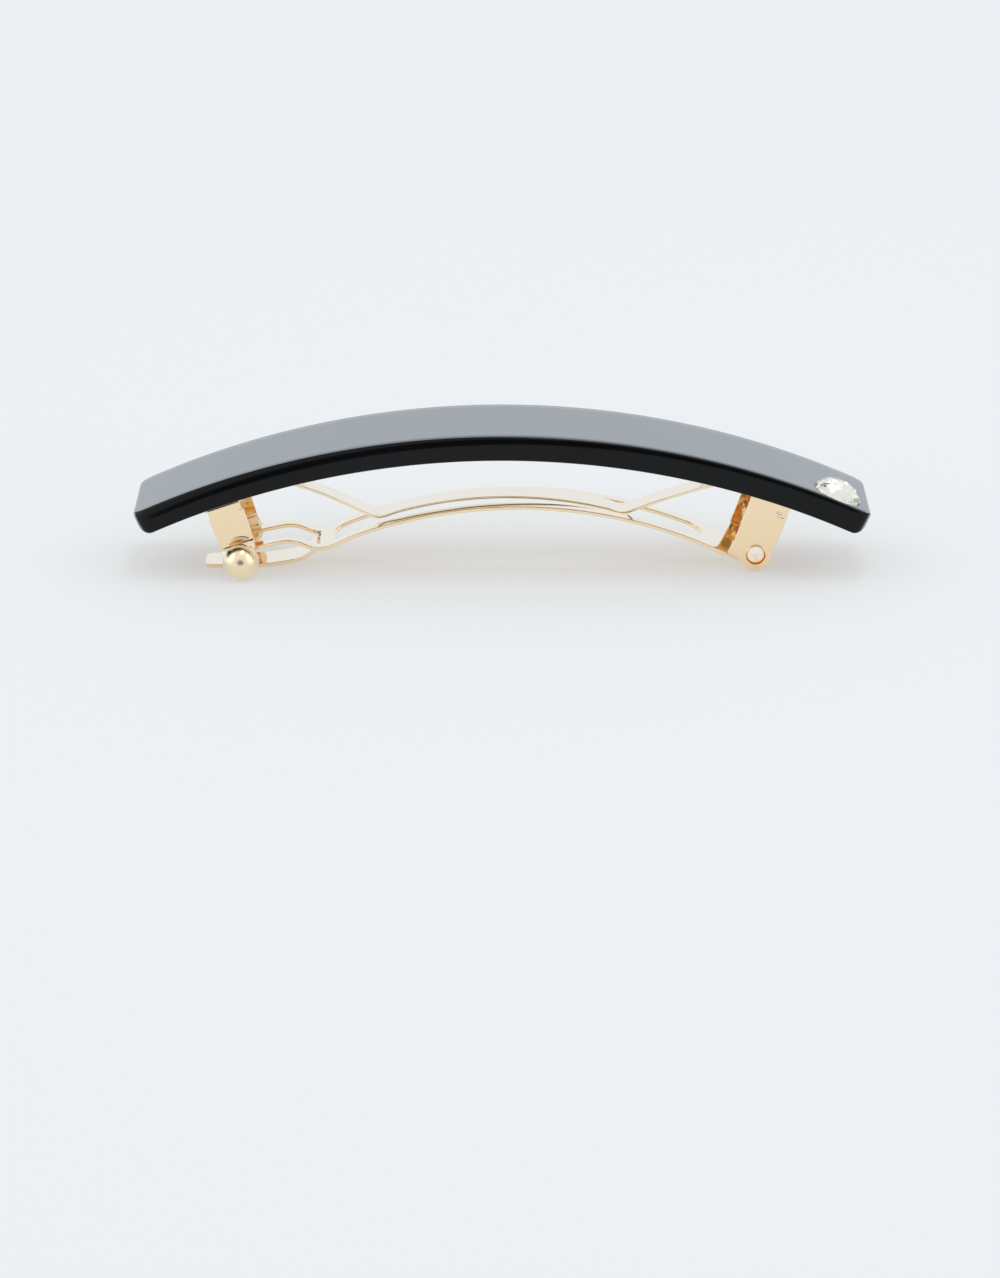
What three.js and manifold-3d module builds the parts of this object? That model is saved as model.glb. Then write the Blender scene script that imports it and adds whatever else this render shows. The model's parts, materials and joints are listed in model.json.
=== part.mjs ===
// A French-clasp barrette: a curved acetate bar with one stone, carried by an arched sheet-metal
// base, a hinged closing arm, a tension bow and a catch with two ball knobs.
// Millimetres. +X runs along the bar towards the hinge, -Y is the front edge, +Z is up.
// The origin is under the middle of the barrette, on the surface that it stands on.

import * as THREE from 'three';
import { mergeVertices } from 'three/addons/utils/BufferGeometryUtils.js';
import Module from 'manifold-3d';

const wasm = await Module();
wasm.setup();

// ---- driving dimensions ------------------------------------------------------------------

const ARC_CENTRE_Z = -97.1;      // the bar and the base plate share this centre of curvature
const BAR_UNDER_R = 114;
const BAR_THICK = 3.3;
const BAR_WIDTH = 15.8;
const BAR_HALF_LENGTH = 49.6;
const BAR_EDGE_R = 0.7;          // rounding of the long edges
const BAR_CORNER_R = 2;          // rounding of the corners, seen from above

const SEAM = 0.05;               // gap between pieces that lie on each other
const SHEET = 0.5;               // base plate and closing arm
const BASE_HALF_WIDTH = 5;
const BASE_HALF_ANGLE = 20.8;    // degrees from the middle of the arc to each end of the base

const STONE_ANGLE = 22.7;        // place of the stone on the arc, degrees
const STONE_Y = -3.7;
const STONE_R = 3.4;
const STONE_TABLE_R = 2;
const STONE_CROWN = 1.45;
const STONE_DEPTH = 1.5;         // pointed back, below the girdle
const STONE_SIDES = 12;
const STONE_LIFT = -0.05;        // girdle height over the bar's top face

const PIN_ANGLE = 11;            // place of each mounting pin on the arc, degrees
const PIN_R = 0.8;
const PIN_HEAD_R = 1.4;
const PIN_HEAD = 0.45;
const PIN_REACH = 2.2;           // into the bar

const HINGE = { x: 34.3, z: 2.7 };
const EAR_ANGLE = 18.8;          // where the ears hang from the arc, degrees
const EAR_END_R = 2.4;
const TUBE_R = 1.25;
const TUBE_BORE_R = 1.05;
const TUBE_LIP_R = 1.45;
const TUBE_HOLE_R = 1.33;

const CATCH_ANGLE = -19.38;
const CATCH_HALF_LENGTH = 2.8;
const LEVER_SHEET = 0.45;
const LEVER_FLARE = 0.9;         // how far the lower end of a lever is set outwards
const FLARE_DEPTH = { start: 6.0, end: 6.9 };
const KNOB_R = 2.35;
const KNOB = { x: -35.2, y: 7.15, z: 2.35 };
const KNOB_SHANK_R = 0.6;
const LEVER_FOOT_R = 1.8;
const RIVET_R = 0.7;

const ARM_HALF_WIDTH = 4.35;
const TONGUE_HALF_WIDTH = 2.6;
const WINDOW_HALF_WIDTH = 2.6;
const WINDOW = { left: -22.8, right: 27.2 };
const FORK_X = -25.2;            // the rails and the tongue part from here to the left
const ARM_ARC = { x: 2.2, z: -53.7, r: 63.1 };
const TAB = { left: -40.4, topZ: 0.52, cornerR: 1.2 };
const SLIT = 0.1;                // between the tongue and the rails
const CURL_R = 1.65;             // the arm's end curls round the hinge tube at this radius
const ARM_EAR_R = 2.15;
const ARM_EAR_SHEET = 0.45;

const BOW_SHEET = 0.35;
const BOW_HALF_WIDTH = 2;
const BOW_ARC = { x: 0.8, z: -44.8, r: 54.9 };
const BOW_TAB = { left: 37.1, right: 37.95, halfWidth: 5.3, slope: -0.34, topZ: 8.4 };
const SLOT_CLEARANCE = 0.13;

const GOLD = { color: 0xe8c98a, roughness: 0.16, metalness: 1 };
const ACETATE = { color: 0x0b0c0e, roughness: 0.12, metalness: 0 };
const GLASS = { color: 0xf4f0e6, roughness: 0.03, metalness: 0.1 };

// ---- outlines ----------------------------------------------------------------------------

const baseTopR = BAR_UNDER_R - SEAM;
const baseUnderR = baseTopR - SHEET;
const barTopR = BAR_UNDER_R + BAR_THICK;
const radians = THREE.MathUtils.degToRad;
const degrees = THREE.MathUtils.radToDeg;
const point = (x, z) => new THREE.Vector2(x, z);

// A point on the arc of the bar: angle in degrees from the top, and distance from its centre.
function onArc(angle, radius) {
  const a = radians(angle);
  return point(radius * Math.sin(a), ARC_CENTRE_Z + radius * Math.cos(a));
}

// A stretch of the arc between two radii.
function arcBand(from, to, innerR, outerR, step = 2.5) {
  const count = Math.max(1, Math.ceil((to - from) / step));
  const angles = Array.from({ length: count + 1 }, (_, i) => from + ((to - from) * i) / count);
  return [
    ...angles.map((angle) => onArc(angle, innerR)),
    ...angles.reverse().map((angle) => onArc(angle, outerR)),
  ];
}

// A place on a plate that hangs square from the base: t mm along the arc, d mm down the plate.
function hanging(angle, t, d) {
  const a = radians(angle);
  const start = onArc(angle, baseUnderR);
  return point(
    start.x + t * Math.cos(a) - d * Math.sin(a),
    start.y - t * Math.sin(a) - d * Math.cos(a),
  );
}

// Points round a centre, by angle in degrees from +X towards +Z.
function arcPoints(cx, cz, radius, from, to, count) {
  return Array.from({ length: count + 1 }, (_, i) => {
    const a = radians(from + ((to - from) * i) / count);
    return point(cx + radius * Math.cos(a), cz + radius * Math.sin(a));
  });
}

// A line through [x, z, bend] corners; a corner with a bend is rounded over that length.
function bentLine(corners) {
  return corners.flatMap(([x, z, bend = 0], i) => {
    if (!bend) return [point(x, z)];
    const corner = point(x, z);
    const [before, after] = [corners[i - 1], corners[i + 1]].map(([nx, nz]) => (
      corner.clone().addScaledVector(point(nx, nz).sub(corner).normalize(), bend)));
    return new THREE.QuadraticBezierCurve(before, corner, after).getPoints(4);
  });
}

// The outline of a strip whose upper face follows a line that runs towards +X.
function strip(line, thickness) {
  const below = line.map((here, i) => {
    const ahead = line[Math.min(i + 1, line.length - 1)];
    const behind = line[Math.max(i - 1, 0)];
    const along = ahead.clone().sub(behind).normalize();
    return point(here.x + along.y * thickness, here.y - along.x * thickness);
  });
  return [...below, ...line.slice().reverse()];
}

function rectangle(left, right, low, high) {
  return [point(left, low), point(right, low), point(right, high), point(left, high)];
}

function roundedRectangle(left, right, halfWidth, radius) {
  const shape = new THREE.Shape();
  shape.moveTo(left + radius, -halfWidth);
  shape.lineTo(right - radius, -halfWidth);
  shape.absarc(right - radius, radius - halfWidth, radius, -Math.PI / 2, 0);
  shape.absarc(right - radius, halfWidth - radius, radius, 0, Math.PI / 2);
  shape.absarc(left + radius, halfWidth - radius, radius, Math.PI / 2, Math.PI);
  shape.absarc(left + radius, radius - halfWidth, radius, Math.PI, 1.5 * Math.PI);
  return shape;
}

// The upper face of the bow's T, lengthened and raised by an allowance all round.
function bowTabLine(allowance) {
  const { left, right, slope, topZ } = BOW_TAB;
  return [left - allowance, right + allowance]
    .map((x) => point(x, topZ + slope * (x - right) + allowance));
}

// ---- solids ------------------------------------------------------------------------------

function toSolid(geometry) {
  geometry.deleteAttribute('normal');
  geometry.deleteAttribute('uv');
  const merged = mergeVertices(geometry, 1e-4);
  return new wasm.Manifold(new wasm.Mesh({
    numProp: 3,
    vertProperties: new Float32Array(merged.attributes.position.array),
    triVerts: new Uint32Array(merged.index.array),
  }));
}

function toMesh(name, solid, finish) {
  const cut = solid.getMesh();
  const geometry = new THREE.BufferGeometry();
  geometry.setAttribute('position', new THREE.BufferAttribute(cut.vertProperties, 3));
  geometry.setIndex(new THREE.BufferAttribute(cut.triVerts, 1));
  geometry.computeVertexNormals();
  const mesh = new THREE.Mesh(geometry, new THREE.MeshStandardMaterial(finish));
  mesh.name = name;
  return mesh;
}

// An outline in X and Z, extruded across the barrette from y = low to y = high.
function across(outline, low, high, edgeR = 0) {
  const geometry = new THREE.ExtrudeGeometry(new THREE.Shape(outline), {
    depth: high - low - 2 * edgeR,
    bevelEnabled: edgeR > 0,
    bevelSize: edgeR,
    bevelOffset: -edgeR,
    bevelThickness: edgeR,
    bevelSegments: 3,
  });
  geometry.rotateX(Math.PI / 2);
  geometry.translate(0, high - edgeR, 0);
  return toSolid(geometry);
}

// An outline in X and Y, extruded upwards from z = low to z = high.
function upright(shape, low, high) {
  const depth = high - low;
  const geometry = new THREE.ExtrudeGeometry(shape, { depth, bevelEnabled: false, curveSegments: 8 });
  geometry.translate(0, 0, low);
  return toSolid(geometry);
}

// An outline in Y and Z, extruded along the barrette from x = left to x = right.
function lengthwise(outline, left, right) {
  const geometry = new THREE.ExtrudeGeometry(new THREE.Shape(outline), {
    depth: right - left, bevelEnabled: false,
  });
  geometry.rotateX(Math.PI / 2);
  geometry.rotateZ(Math.PI / 2);
  geometry.translate(left, 0, 0);
  return toSolid(geometry);
}

function turned(profile, segments) {
  return new THREE.LatheGeometry(profile.map(([r, h]) => new THREE.Vector2(r, h)), segments);
}

// A turned shape on an axis along Y. The profile is a list of [radius, y], with y rising.
function turnedAcross(profile, x, z, segments = 32) {
  const geometry = turned(profile, segments);
  geometry.translate(x, 0, z);
  return toSolid(geometry);
}

// A turned shape that stands square on the arc. The profile is a list of [radius, height].
function turnedOnArc(profile, angle, radius, y = 0, segments = 16) {
  const geometry = turned(profile, segments);
  const place = onArc(angle, radius);
  geometry.rotateX(Math.PI / 2);
  geometry.rotateY(radians(angle));
  geometry.translate(place.x, y, place.y);
  return toSolid(geometry);
}

function subtractAll(solid, cuts) {
  return cuts.reduce((left, cut) => left.subtract(cut), solid);
}

// ---- the bar and its stone ---------------------------------------------------------------

function acetateBar() {
  const endAngle = degrees(Math.asin(BAR_HALF_LENGTH / barTopR));
  const halfWidth = BAR_WIDTH / 2;
  const outline = arcBand(-endAngle, endAngle, BAR_UNDER_R, barTopR);
  const plan = roundedRectangle(-BAR_HALF_LENGTH, BAR_HALF_LENGTH, halfWidth, BAR_CORNER_R);
  const band = across(outline, -halfWidth, halfWidth, BAR_EDGE_R);
  const seatR = STONE_R + 0.08;
  const seatProfile = [[0, -STONE_DEPTH - 0.1], [0.6, -STONE_DEPTH - 0.1], [seatR, -0.1],
    [seatR, 1], [0, 1]];
  const seat = turnedOnArc(seatProfile, STONE_ANGLE, barTopR + STONE_LIFT, STONE_Y, 24);
  return subtractAll(band.intersect(upright(plan, 0, 30)), [seat, ...pinHoles()]);
}

function crystal() {
  const profile = [[0, -STONE_DEPTH], [0.4, -STONE_DEPTH], [STONE_R, -0.05], [STONE_R, 0.1],
    [STONE_TABLE_R, STONE_CROWN], [0, STONE_CROWN]];
  return turnedOnArc(profile, STONE_ANGLE, barTopR + STONE_LIFT, STONE_Y, STONE_SIDES);
}

// ---- the base plate, its pins and the hinge tube -------------------------------------------

function pinHoles() {
  const r = PIN_R + SEAM;
  const reach = PIN_REACH + SEAM;
  const profile = [[0, -1], [r, -1], [r, reach], [0, reach]];
  return [-PIN_ANGLE, PIN_ANGLE].map((angle) => turnedOnArc(profile, angle, BAR_UNDER_R));
}

function mountPin(angle) {
  const under = SEAM + SHEET + SEAM;
  const profile = [[0, -under - PIN_HEAD], [PIN_HEAD_R * 0.7, -under - PIN_HEAD * 0.8],
    [PIN_HEAD_R, -under - 0.1], [PIN_HEAD_R, -under], [PIN_R, -under], [PIN_R, PIN_REACH],
    [0, PIN_REACH]];
  return turnedOnArc(profile, angle, BAR_UNDER_R);
}

function basePlate() {
  const half = BASE_HALF_WIDTH;
  const arch = across(arcBand(-BASE_HALF_ANGLE, BASE_HALF_ANGLE, baseUnderR, baseTopR), -half, half);
  const ear = [
    hanging(EAR_ANGLE, 2.5, -0.25), hanging(EAR_ANGLE, -3, -0.25), hanging(EAR_ANGLE, -3.1, 8.4),
    ...arcPoints(HINGE.x, HINGE.z, EAR_END_R, 205, 370, 14),
  ];
  const ears = [[-half, SHEET - half], [half - SHEET, half]]
    .map(([low, high]) => across(ear, low, high));
  const slotLine = bowTabLine(SLOT_CLEARANCE);
  const slot = across(strip(slotLine, BOW_SHEET + 2 * SLOT_CLEARANCE), -half - 1, half + 1);
  const hole = [[0, -half - 1], [TUBE_HOLE_R, -half - 1], [TUBE_HOLE_R, half + 1], [0, half + 1]];
  const cuts = [slot, turnedAcross(hole, HINGE.x, HINGE.z), rivetHole(), ...pinHoles()];
  return subtractAll(arch.add(ears[0]).add(ears[1]), cuts);
}

// A rolled tube whose ends are flared over the ears of the base plate.
function hingeTube() {
  const face = BASE_HALF_WIDTH + SEAM;
  const end = face + 0.25;
  const outer = [[TUBE_LIP_R, -end], [TUBE_LIP_R, -face], [TUBE_R, -face], [TUBE_R, face],
    [TUBE_LIP_R, face], [TUBE_LIP_R, end]];
  const mouth = TUBE_R - 0.02;
  const bore = [[mouth, end], [TUBE_BORE_R, face - 0.2], [TUBE_BORE_R, 0.2 - face], [mouth, -end]];
  return turnedAcross([...outer, ...bore, outer[0]], HINGE.x, HINGE.z);
}

// ---- the catch ---------------------------------------------------------------------------

const bridgeTopR = baseUnderR - SEAM;

function rivetHole() {
  const r = RIVET_R + SEAM;
  return turnedOnArc([[0, -2], [r, -2], [r, 2], [0, 2]], CATCH_ANGLE, baseUnderR);
}

function catchBridge() {
  const half = BASE_HALF_WIDTH + LEVER_SHEET;
  const halfAngle = degrees(CATCH_HALF_LENGTH / baseUnderR);
  const outline = arcBand(CATCH_ANGLE - halfAngle, CATCH_ANGLE + halfAngle,
    bridgeTopR - LEVER_SHEET, bridgeTopR);
  return across(outline, -half, half).subtract(rivetHole());
}

// The rivet's flat upper head is let into the base plate, under the bar.
function catchRivet() {
  const under = SEAM + LEVER_SHEET + SEAM;
  const profile = [[0, -under - 0.4], [0.9, -under - 0.35], [1.3, -under - 0.05], [1.3, -under],
    [RIVET_R, -under], [RIVET_R, SHEET], [0, SHEET]];
  return turnedOnArc(profile, CATCH_ANGLE, baseUnderR);
}

// One side plate: a narrow springy neck, a wider flank and a foot set outwards for the knob.
// side is -1 at the front edge and 1 at the back.
function catchLever(side) {
  const at = (t, d) => hanging(CATCH_ANGLE, t, d);
  const neck = 2.25;
  const flank = 2.5;
  const outline = [
    at(neck, 0.62), at(-neck, 0.62), at(-neck, 1.1), at(-flank, 1.4), at(-2.3, FLARE_DEPTH.end),
    ...arcPoints(KNOB.x, KNOB.z, LEVER_FOOT_R, 190, 370, 12),
    at(2.3, FLARE_DEPTH.end), at(flank, 1.4), at(neck, 1.1),
  ];
  const inner = BASE_HALF_WIDTH;
  const outer = inner + LEVER_SHEET;
  const [top, bend, set] = [0, FLARE_DEPTH.start, FLARE_DEPTH.end].map((d) => at(0, d).y);
  const section = [
    [inner, top + 3], [outer, top + 3], [outer, bend], [outer + LEVER_FLARE, set],
    [outer + LEVER_FLARE, -1], [inner + LEVER_FLARE, -1], [inner + LEVER_FLARE, set], [inner, bend],
  ].map(([y, z]) => new THREE.Vector2(side * y, z));
  const [low, high] = side < 0 ? [-10, 0] : [0, 10];
  const r = KNOB_SHANK_R + SEAM;
  const hole = turnedAcross([[0, low], [r, low], [r, high], [0, high]], KNOB.x, KNOB.z, 16);
  return across(outline, low, high).intersect(lengthwise(section, -60, 0)).subtract(hole);
}

// A ball with a flat back, and a shank that is peened over inside the side plate.
function knob(side) {
  const inner = BASE_HALF_WIDTH + LEVER_FLARE - SEAM;
  const back = inner + LEVER_SHEET + 2 * SEAM;
  const start = degrees(Math.asin((back - KNOB.y) / KNOB_R));
  const ball = Array.from({ length: 13 }, (_, i) => {
    const a = radians(start + ((90 - start) * i) / 12);
    return [i === 12 ? 0 : KNOB_R * Math.cos(a), KNOB.y + KNOB_R * Math.sin(a)];
  });
  const shank = [[0, inner - 0.2], [0.8, inner - 0.2], [0.95, inner], [KNOB_SHANK_R, inner],
    [KNOB_SHANK_R, back]];
  const profile = [...shank, ...ball].map(([r, y]) => [r, side * y]);
  return turnedAcross(side < 0 ? profile.reverse() : profile, KNOB.x, KNOB.z, 24);
}

// ---- the closing arm -----------------------------------------------------------------------

function closingArm() {
  const half = ARM_HALF_WIDTH;
  const arch = arcPoints(ARM_ARC.x, ARM_ARC.z, ARM_ARC.r, 111.1, 65.7, 18);
  const curl = arcPoints(HINGE.x, HINGE.z, CURL_R, 244.4, 330, 5);
  const rails = bentLine([[-37, 3.0], [-28.3, 4.85, 1.4], [-24.9, 3.25, 1.2], [-22.5, 4.17]]);
  const body = across(strip([...rails, ...arch, ...curl], SHEET), -half, half);

  const forkGap = upright(new THREE.Shape(
    rectangle(-45, FORK_X, -TONGUE_HALF_WIDTH - SLIT, TONGUE_HALF_WIDTH + SLIT),
  ), -1, 20);
  const window = upright(
    roundedRectangle(WINDOW.left, WINDOW.right, WINDOW_HALF_WIDTH, 1.5), -1, 20,
  );

  const tongueLine = bentLine([[-42, TAB.topZ], [-32.6, TAB.topZ, 2], [-27.2, 1.45, 1],
    [-25.0, 3.3, 0.8], [-22.9, 4.02]]);
  const tonguePlan = roundedRectangle(TAB.left, -20, TONGUE_HALF_WIDTH, TAB.cornerR);
  const tongue = across(strip(tongueLine, SHEET), -half, half).intersect(upright(tonguePlan, -1, 20));

  const ear = [
    point(31.2, 4.6), point(30.3, 2.3),
    ...arcPoints(HINGE.x, HINGE.z, ARM_EAR_R, 240, 460, 16),
  ];
  const ears = [[-half, ARM_EAR_SHEET - half], [half - ARM_EAR_SHEET, half]]
    .map(([low, high]) => across(ear, low, high));
  const hole = [[0, -half - 1], [TUBE_HOLE_R, -half - 1], [TUBE_HOLE_R, half + 1], [0, half + 1]];
  return subtractAll(body, [forkGap, window]).add(tongue).add(ears[0]).add(ears[1])
    .subtract(turnedAcross(hole, HINGE.x, HINGE.z));
}

// ---- the tension bow -----------------------------------------------------------------------

// A thin leaf: two sloping legs, a shallow arch between them, and a T at the hinge end whose
// arms sit in slots of the base plate's ears.
function tensionBow() {
  const arch = arcPoints(BOW_ARC.x, BOW_ARC.z, BOW_ARC.r, 105.9, 75.4, 14);
  const left = bentLine([[-29.6, 12.3], [-24.3, 10.6, 2], [-16.8, 7.05, 1], [-14.2, 8.02]]);
  const right = bentLine([[14, 8.55], [16.3, 7.65, 1], [20.3, 9.25, 2], [30, 12.3, 2.5],
    [36.6, 8.86, 0.6], [BOW_TAB.right, BOW_TAB.topZ]]);
  const line = [...left.slice(0, -1), ...arch, ...right.slice(1)];
  const leaf = across(strip(line, BOW_SHEET), -BOW_HALF_WIDTH, BOW_HALF_WIDTH);
  const tab = across(strip(bowTabLine(0), BOW_SHEET), -BOW_TAB.halfWidth, BOW_TAB.halfWidth);
  return leaf.add(tab);
}

// ---- the assembly --------------------------------------------------------------------------

const barrette = new THREE.Group();
barrette.add(
  toMesh('acetate_bar', acetateBar(), ACETATE),
  toMesh('crystal', crystal(), GLASS),
  toMesh('base_plate', basePlate(), GOLD),
  toMesh('mount_pin_left', mountPin(-PIN_ANGLE), GOLD),
  toMesh('mount_pin_right', mountPin(PIN_ANGLE), GOLD),
  toMesh('hinge_tube', hingeTube(), GOLD),
  toMesh('catch_bridge', catchBridge(), GOLD),
  toMesh('catch_rivet', catchRivet(), GOLD),
  toMesh('catch_lever_front', catchLever(-1), GOLD),
  toMesh('catch_lever_back', catchLever(1), GOLD),
  toMesh('knob_front', knob(-1), GOLD),
  toMesh('knob_back', knob(1), GOLD),
  toMesh('closing_arm', closingArm(), GOLD),
  toMesh('tension_bow', tensionBow(), GOLD),
);

export default barrette;
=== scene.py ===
"""The looks of a French-clasp barrette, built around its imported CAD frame.

Blender objects are in metres. The shapes below are worked out in millimetres, in the frame of the
CAD model, and turned into metres as each mesh is made.
"""
import json
import math

import bmesh
import bpy
from mathutils import Matrix, Vector


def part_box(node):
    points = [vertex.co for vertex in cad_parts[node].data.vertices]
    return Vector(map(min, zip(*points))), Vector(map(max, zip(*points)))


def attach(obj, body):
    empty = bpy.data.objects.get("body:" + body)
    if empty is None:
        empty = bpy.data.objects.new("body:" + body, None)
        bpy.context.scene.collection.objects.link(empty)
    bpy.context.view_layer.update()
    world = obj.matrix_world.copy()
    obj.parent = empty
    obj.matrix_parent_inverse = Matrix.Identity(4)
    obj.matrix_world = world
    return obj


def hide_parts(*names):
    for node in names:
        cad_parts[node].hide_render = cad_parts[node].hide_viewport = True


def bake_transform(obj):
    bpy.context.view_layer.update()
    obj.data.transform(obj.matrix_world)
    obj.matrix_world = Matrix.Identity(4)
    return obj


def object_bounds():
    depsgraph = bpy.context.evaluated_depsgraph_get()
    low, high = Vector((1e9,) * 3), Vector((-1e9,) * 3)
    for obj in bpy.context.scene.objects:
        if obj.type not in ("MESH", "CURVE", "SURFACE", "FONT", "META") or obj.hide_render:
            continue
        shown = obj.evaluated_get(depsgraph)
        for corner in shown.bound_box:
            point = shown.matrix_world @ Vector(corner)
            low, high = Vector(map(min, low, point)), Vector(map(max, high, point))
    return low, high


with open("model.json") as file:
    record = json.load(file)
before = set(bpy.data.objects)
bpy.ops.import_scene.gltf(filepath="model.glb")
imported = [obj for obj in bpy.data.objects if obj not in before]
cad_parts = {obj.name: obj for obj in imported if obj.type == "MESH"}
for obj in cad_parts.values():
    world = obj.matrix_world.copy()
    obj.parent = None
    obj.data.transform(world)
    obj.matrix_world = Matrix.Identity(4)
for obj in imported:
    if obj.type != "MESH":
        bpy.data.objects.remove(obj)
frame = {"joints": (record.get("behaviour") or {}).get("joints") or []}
cad_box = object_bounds()
MM = 0.001


# ---- places, from the frame ----------------------------------------------------------------

def box_mm(node):
    low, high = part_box(node)
    return Vector(low) / MM, Vector(high) / MM


def joint_mm(name):
    joint = next(j for j in frame["joints"] if j["name"] == name)
    return Vector(joint["pos_m"]) / MM


BAR_HIGH = box_mm("acetate_bar")[1]
BAR_HALF_LENGTH = BAR_HIGH.x
BAR_HALF_WIDTH = BAR_HIGH.y
BAR_THICK = 3.3
BAR_UNDER_R = 114.0
BAR_TOP_R = BAR_UNDER_R + BAR_THICK
ARC_Z = BAR_HIGH.z - BAR_TOP_R
SEAM = 0.05
SHEET = 0.5
BASE_R = BAR_UNDER_R - SEAM
BASE_UNDER_R = BASE_R - SHEET
BASE_HALF_WIDTH = 5.0
HINGE = joint_mm("arm_swing")
KNOB_LOW, KNOB_HIGH = box_mm("knob_front")
KNOB_R = (KNOB_HIGH.z - KNOB_LOW.z) / 2
BALL_R = KNOB_R * 1.04          # the polished ball is a little fuller than its plain solid
KNOB = Vector(((KNOB_LOW.x + KNOB_HIGH.x) / 2, -KNOB_LOW.y - KNOB_R, KNOB_LOW.z + KNOB_R))


def on_arc(angle, radius, y=0.0):
    a = math.radians(angle)
    return Vector((radius * math.sin(a), y, ARC_Z + radius * math.cos(a)))


def arc_axes(angle):
    """Unit vectors along the arc and straight out of it, at an angle from the top."""
    a = math.radians(angle)
    return Vector((math.cos(a), 0, -math.sin(a))), Vector((math.sin(a), 0, math.cos(a)))


# ---- lines and outlines --------------------------------------------------------------------

def arc_points(cx, cz, radius, start, end, count):
    """Points round a centre, by angle in degrees from the first axis towards the second."""
    steps = [math.radians(start + (end - start) * i / count) for i in range(count + 1)]
    return [Vector((cx + radius * math.cos(a), cz + radius * math.sin(a))) for a in steps]


def bent_line(corners, count=8):
    """A line through (x, z, bend) corners; a corner with a bend is rounded over that length."""
    points = []
    for i, corner in enumerate(corners):
        here = Vector(corner[:2])
        bend = corner[2] if len(corner) > 2 else 0
        if not bend:
            points.append(here)
            continue
        before = here + (Vector(corners[i - 1][:2]) - here).normalized() * bend
        after = here + (Vector(corners[i + 1][:2]) - here).normalized() * bend
        for k in range(count + 1):
            s = k / count
            points.append(before * (1 - s) ** 2 + here * (2 * s * (1 - s)) + after * s ** 2)
    return points


def fillet(corners, count=6):
    """A closed outline through (x, y, radius) corners, each rounded by a true arc."""
    points = []
    for i, (x, y, radius) in enumerate(corners):
        here = Vector((x, y))
        back = (Vector(corners[i - 1][:2]) - here).normalized()
        ahead = (Vector(corners[(i + 1) % len(corners)][:2]) - here).normalized()
        half = back.angle(ahead) / 2
        if not radius or half > 1.55:
            points.append(here)
            continue
        centre = here + (back + ahead).normalized() * (radius / math.sin(half))
        start = here + back * (radius / math.tan(half)) - centre
        end = here + ahead * (radius / math.tan(half)) - centre
        turn = start.angle_signed(end)
        for k in range(count + 1):
            a = -turn * k / count
            points.append(centre + Vector((start.x * math.cos(a) - start.y * math.sin(a),
                                           start.x * math.sin(a) + start.y * math.cos(a))))
    return points


def circle(cx, cy, radius, count=28):
    return arc_points(cx, cy, radius, 0, 360 * (count - 1) / count, count - 1)


class Line:
    """A line in X and Z that can be asked for its place and direction at a length along it."""

    def __init__(self, points):
        self.points = [points[0]]
        for point in points[1:]:
            if (point - self.points[-1]).length > 1e-4:
                self.points.append(point)
        self.marks = [0.0]
        for a, b in zip(self.points, self.points[1:]):
            self.marks.append(self.marks[-1] + (b - a).length)
        self.length = self.marks[-1]
        count = len(self.points)
        self.turns = []
        for i in range(count):
            back = self.points[max(i, 1)] - self.points[max(i, 1) - 1]
            ahead = self.points[min(i + 1, count - 1)] - self.points[min(i, count - 2)]
            self.turns.append((back.normalized() + ahead.normalized()).normalized())

    def at(self, u):
        """The point at length u and the normal there, up for a line that runs towards +X."""
        i = 0
        while i < len(self.marks) - 2 and self.marks[i + 1] < u:
            i += 1
        s = (u - self.marks[i]) / (self.marks[i + 1] - self.marks[i])
        point = self.points[i].lerp(self.points[i + 1], s)
        along = self.turns[i].lerp(self.turns[i + 1], min(max(s, 0), 1)).normalized()
        return Vector((point.x, 0, point.y)), Vector((-along.y, 0, along.x))

    def where(self, value, axis=0):
        """The length along the line at which its first or second coordinate first has a value."""
        for i in range(len(self.points) - 1):
            a, b = self.points[i][axis], self.points[i + 1][axis]
            if min(a, b) <= value <= max(a, b) and a != b:
                return self.marks[i] + (value - a) / (b - a) * (self.marks[i + 1] - self.marks[i])
        raise ValueError(f"the line never crosses {value}")


# ---- mesh making ---------------------------------------------------------------------------

def to_object(name, bm, material, bevel=0.0, clamp=True):
    """A finished object from a mesh in mm: scaled to metres, edges softened, normals weighted."""
    bmesh.ops.scale(bm, vec=(MM, MM, MM), verts=bm.verts)
    bmesh.ops.recalc_face_normals(bm, faces=bm.faces)
    mesh = bpy.data.meshes.new(name)
    bm.to_mesh(mesh)
    bm.free()
    obj = bpy.data.objects.new(name, mesh)
    bpy.context.scene.collection.objects.link(obj)
    obj.data.materials.append(material)
    if bevel:
        soft = obj.modifiers.new("soft_edges", "BEVEL")
        soft.width = bevel * MM
        soft.segments = 2
        soft.limit_method = "ANGLE"
        soft.angle_limit = math.radians(40)
        soft.miter_outer = "MITER_ARC"
        soft.use_clamp_overlap = clamp
    for polygon in obj.data.polygons:
        polygon.use_smooth = True
    if bevel:
        weighted = obj.modifiers.new("weighted", "WEIGHTED_NORMAL")
        weighted.weight = 80
        bake(obj)
    return obj


def bake(obj):
    """Applies an object's modifiers to its mesh."""
    graph = bpy.context.evaluated_depsgraph_get()
    mesh = bpy.data.meshes.new_from_object(obj.evaluated_get(graph))
    obj.modifiers.clear()
    obj.data = mesh


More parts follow.
